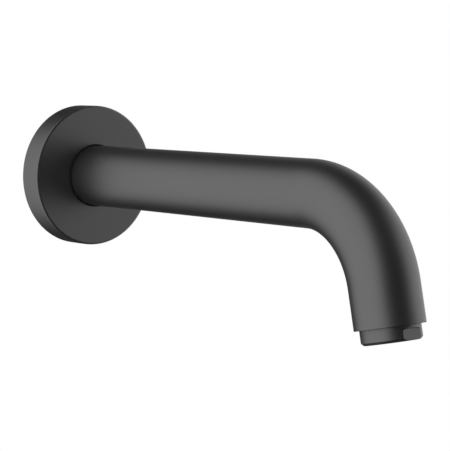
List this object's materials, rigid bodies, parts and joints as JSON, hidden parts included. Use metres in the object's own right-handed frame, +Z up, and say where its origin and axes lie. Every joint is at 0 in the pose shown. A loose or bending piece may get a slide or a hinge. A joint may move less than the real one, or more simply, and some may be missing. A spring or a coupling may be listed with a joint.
{
  "type": "bath spout",
  "caption": "Wall-mounted bath spout: round tube bent down at its end, on a round wall flange, with a screwed-in straight-stream mouthpiece.",
  "frame": {"origin": "where the inlet axis meets the finished wall, at the nipple's thread", "axes": "+Y along the inlet axis into the wall, -Y out over the bath, +Z up"},
  "size_m": [0.0742, 0.262, 0.1016],
  "materials": {
    "satin_finish": "fine satin dark grey coat on brass",
    "plain_brass": "bare turned brass",
    "screw_steel": "blackened steel, plain",
    "black_rubber": "smooth moulded rubber",
    "grey_foam": "closed-cell foam rubber",
    "grey_plastic": "plain moulded plastic",
    "white_plastic": "plain moulded plastic",
    "screen_steel": "etched stainless steel"
  },
  "bodies": {
    "root": {"spout_tube": "satin_finish", "wall_flange": "satin_finish", "mouthpiece": "satin_finish", "inlet_bush": "plain_brass", "gasket_seat_ring": "plain_brass", "wall_nipple": "plain_brass", "set_screw": "screw_steel", "spigot_o_ring_rear": "black_rubber", "spigot_o_ring_front": "black_rubber", "flange_o_ring": "black_rubber", "wall_gasket": "grey_foam", "mouthpiece_gasket": "black_rubber", "straightener_sleeve": "grey_plastic", "honeycomb_outlet": "grey_plastic", "diffuser_plate": "white_plastic", "inlet_strainer": "white_plastic", "mesh_screen_lower": "screen_steel", "mesh_screen_upper": "screen_steel"}
  },
  "joints": []
}
